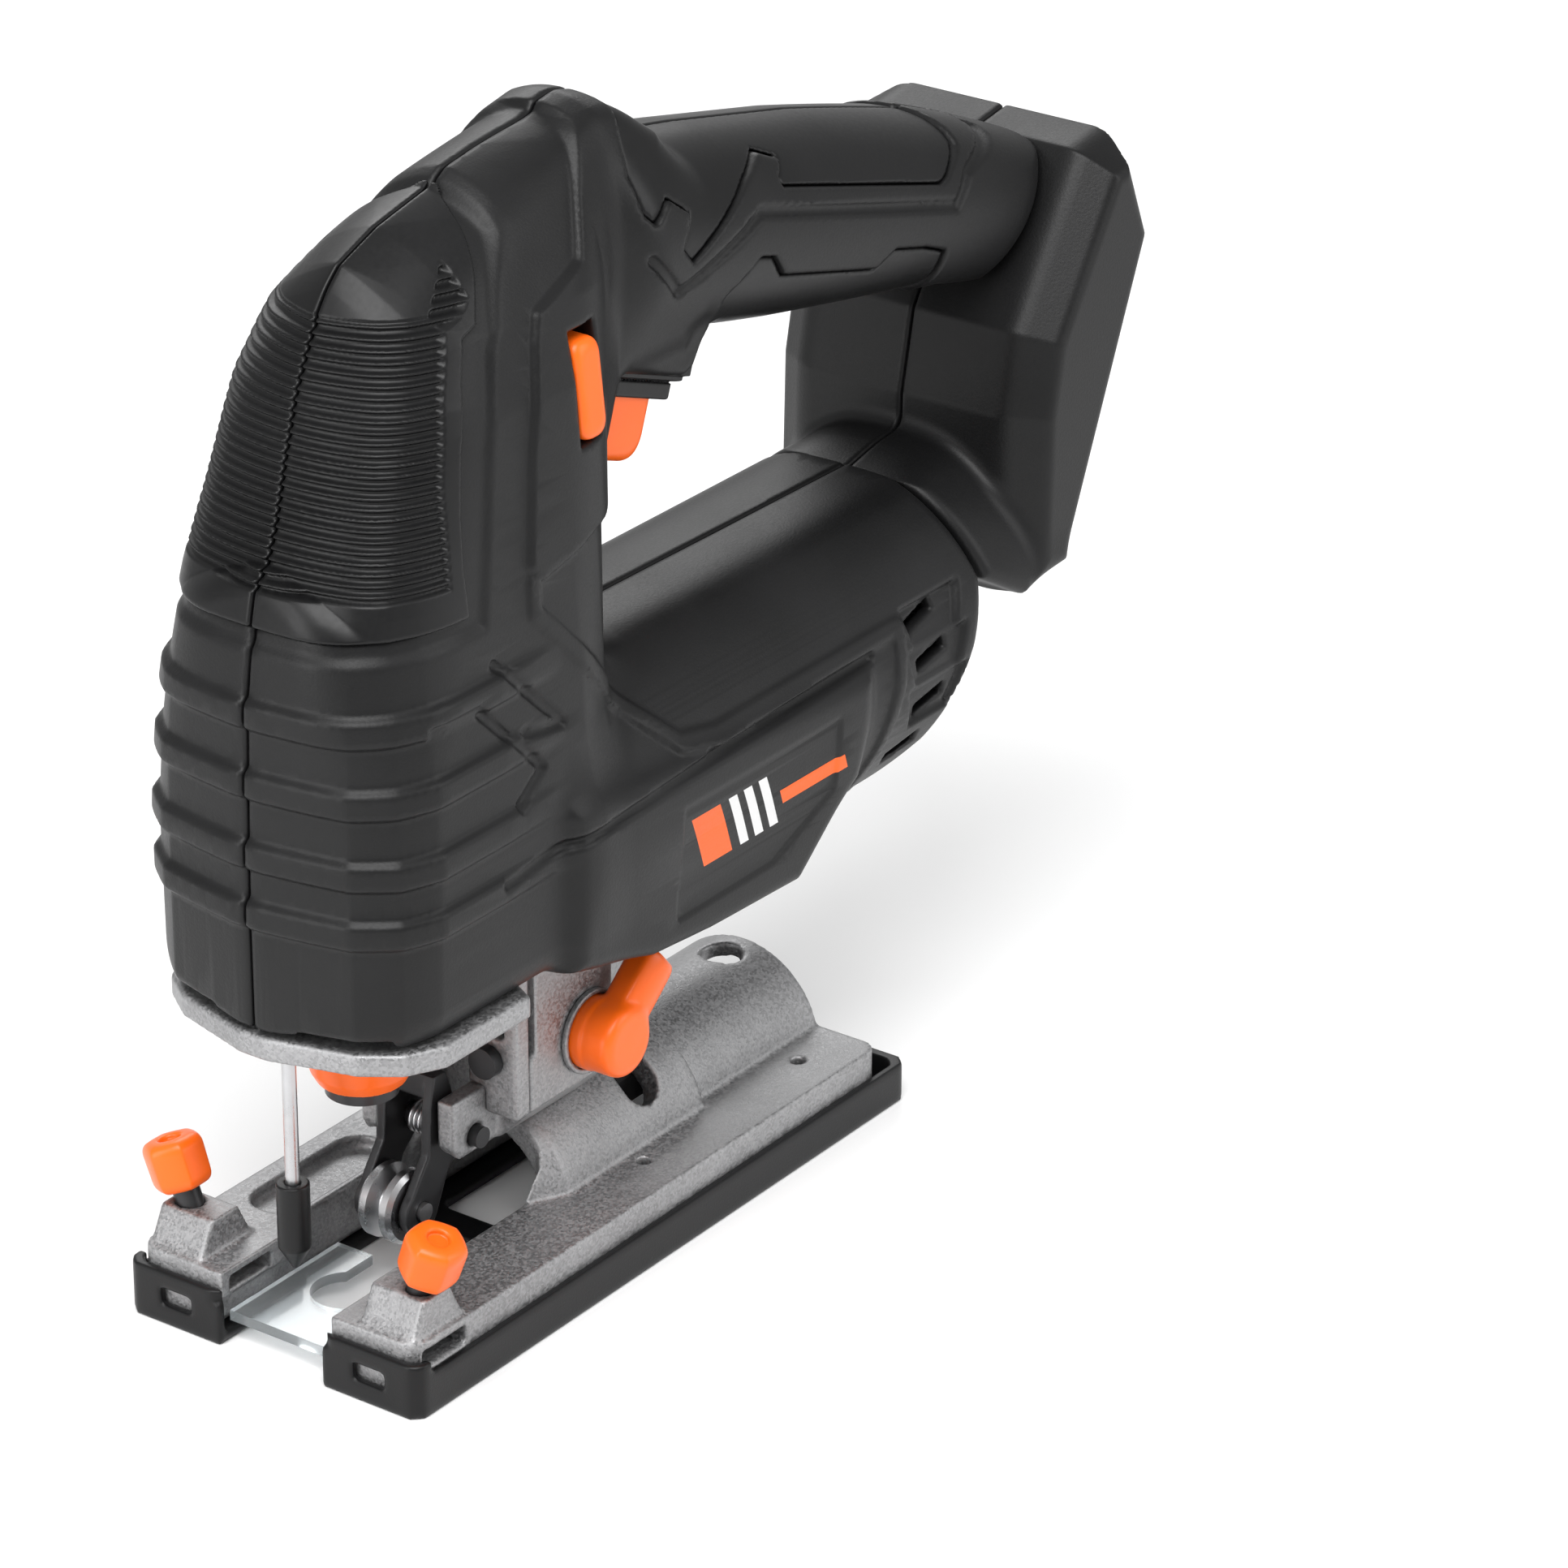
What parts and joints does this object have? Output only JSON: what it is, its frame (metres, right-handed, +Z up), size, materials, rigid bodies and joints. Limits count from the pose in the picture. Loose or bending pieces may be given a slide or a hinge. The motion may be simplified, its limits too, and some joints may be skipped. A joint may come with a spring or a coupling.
{
  "type": "jigsaw power tool",
  "caption": "Cordless D-handle jigsaw with bevelling cast shoe, keyless blade clamp, orbit lever, guide roller and rear battery dock.",
  "frame": {"origin": "centre of the sole, on the surface that the shoe rests on", "axes": "+X to the rear of the tool, +Z up, the blade end faces -X, the safety button faces -Y"},
  "size_m": [0.236, 0.0694, 0.2134],
  "materials": {
    "black_steel": "blackened steel",
    "board": "circuit board",
    "brass": "sintered bronze and brass",
    "bright_steel": "ground steel",
    "case_black": "fine-grained moulded plastic",
    "cast_alloy": "sparkling die-cast finish",
    "clear_plastic": "clear polycarbonate",
    "fan_plastic": "light nylon",
    "inner_plastic": "moulded plastic",
    "orange_plastic": "satin orange plastic",
    "soft_grip": "soft overmould",
    "sole_black": "smooth moulded plastic",
    "windings": "varnished copper"
  },
  "bodies": {
    "base": {"shoe": "cast_alloy", "sole_cover": "sole_black", "splinter_insert": "clear_plastic"},
    "tool": {"gear_head": "cast_alloy", "gear_head_front": "cast_alloy", "front_block_screws": "black_steel", "bevel_clamp": "black_steel", "bevel_bolt": "black_steel", "guard_rod": "bright_steel", "guard_tip": "sole_black", "yoke_pin": "black_steel", "yoke_spring": "bright_steel", "orbit_ring": "cast_alloy", "lower_bush": "brass", "upper_bush": "brass", "gear_spindle": "bright_steel", "motor_can": "bright_steel", "motor_end_cap": "inner_plastic", "brush_holders": "brass", "front_bearing": "bright_steel", "rear_bearing": "bright_steel", "housing_left": "case_black", "housing_right": "case_black", "dock_left": "case_black", "dock_right": "case_black", "front_grip_left": "soft_grip", "front_grip_right": "soft_grip", "handle_grip_left": "soft_grip", "handle_grip_right": "soft_grip", "trigger_boot": "inner_plastic", "switch_module": "inner_plastic", "terminal_block": "inner_plastic", "terminal_blades": "brass", "control_board": "board", "case_screws": "black_steel"},
    "plunger": {"plunger": "bright_steel", "blade_holder": "black_steel", "clamp_spring": "bright_steel"},
    "clamp_collar": {"clamp_collar": "orange_plastic"},
    "rotor": {"armature": "windings", "motor_shaft": "bright_steel", "cooling_fan": "fan_plastic", "pinion": "bright_steel"},
    "drive_gear": {"drive_gear": "bright_steel", "crank_roller": "bright_steel"},
    "yoke": {"roller_yoke": "black_steel", "roller_pin": "bright_steel"},
    "roller": {"guide_roller": "bright_steel"},
    "orbit_knob": {"orbit_knob": "orange_plastic", "orbit_spindle": "bright_steel"},
    "trigger": {"trigger": "orange_plastic"},
    "lock_button": {"lock_button": "orange_plastic"},
    "fence_screw_left": {"fence_screw_left": "black_steel"},
    "fence_screw_right": {"fence_screw_right": "black_steel"},
    "fence_knob_left": {"fence_knob_left": "orange_plastic"},
    "fence_knob_right": {"fence_knob_right": "orange_plastic"}
  },
  "joints": [
    {"name": "bevel_tilt", "type": "hinge", "parent": "base", "child": "tool", "pos_m": [0, 0, 0.009], "axis": [1, 0, 0], "range_deg": [-45, 45]},
    {"name": "plunger_stroke", "type": "slide", "parent": "tool", "child": "plunger", "axis": [0, 0, 1], "range_m": [-0.0165, 0.0035]},
    {"name": "clamp_turn", "type": "hinge", "parent": "plunger", "child": "clamp_collar", "pos_m": [-0.047, 0, 0.05], "axis": [0, 0, 1], "range_deg": [0, 50], "stiffness_Nm_per_rad": 0.05},
    {"name": "rotor_spin", "type": "hinge", "parent": "tool", "child": "rotor", "pos_m": [0, 0, 0.085], "axis": [1, 0, 0], "continuous": true},
    {"name": "gear_spin", "type": "hinge", "parent": "tool", "child": "drive_gear", "pos_m": [-0.03, 0, 0.109], "axis": [1, 0, 0], "continuous": true},
    {"name": "yoke_swing", "type": "hinge", "parent": "tool", "child": "yoke", "pos_m": [-0.0286, 0, 0.0294], "axis": [0, 1, 0], "range_deg": [0, 6], "stiffness_Nm_per_rad": 0.2},
    {"name": "roller_spin", "type": "hinge", "parent": "yoke", "child": "roller", "pos_m": [-0.0385, 0, 0.0168], "axis": [0, 1, 0], "continuous": true},
    {"name": "orbit_turn", "type": "hinge", "parent": "tool", "child": "orbit_knob", "pos_m": [-0.0052, -0.02, 0.043], "axis": [0, 1, 0], "range_deg": [0, 54]},
    {"name": "trigger_pull", "type": "slide", "parent": "tool", "child": "trigger", "axis": [0.342, 0, 0.9397], "range_m": [0, 0.006], "stiffness_N_per_m": 600, "springref_m": -0.002},
    {"name": "lock_push", "type": "slide", "parent": "tool", "child": "lock_button", "axis": [0, 1, 0], "range_m": [0, 0.004]},
    {"name": "fence_screw_left_travel", "type": "slide", "parent": "base", "child": "fence_screw_left", "axis": [0, -0.342, 0.9397], "range_m": [-0.0004, 0.0008]},
    {"name": "fence_knob_left_turn", "type": "hinge", "parent": "fence_screw_left", "child": "fence_knob_left", "pos_m": [-0.064, -0.0255, 0.0175], "axis": [0, -0.342, 0.9397], "range_deg": [-180, 360]},
    {"name": "fence_screw_right_travel", "type": "slide", "parent": "base", "child": "fence_screw_right", "axis": [0, 0.342, 0.9397], "range_m": [-0.0004, 0.0008]},
    {"name": "fence_knob_right_turn", "type": "hinge", "parent": "fence_screw_right", "child": "fence_knob_right", "pos_m": [-0.064, 0.0255, 0.0175], "axis": [0, 0.342, 0.9397], "range_deg": [-180, 360]}
  ],
  "couplings": [
    {"joint": "gear_spin", "follows": "rotor_spin", "ratio": -0.25},
    {"joint": "fence_knob_left_turn", "follows": "fence_screw_left_travel", "rad_per_m": 7853.9},
    {"joint": "fence_knob_right_turn", "follows": "fence_screw_right_travel", "rad_per_m": 7853.9}
  ]
}
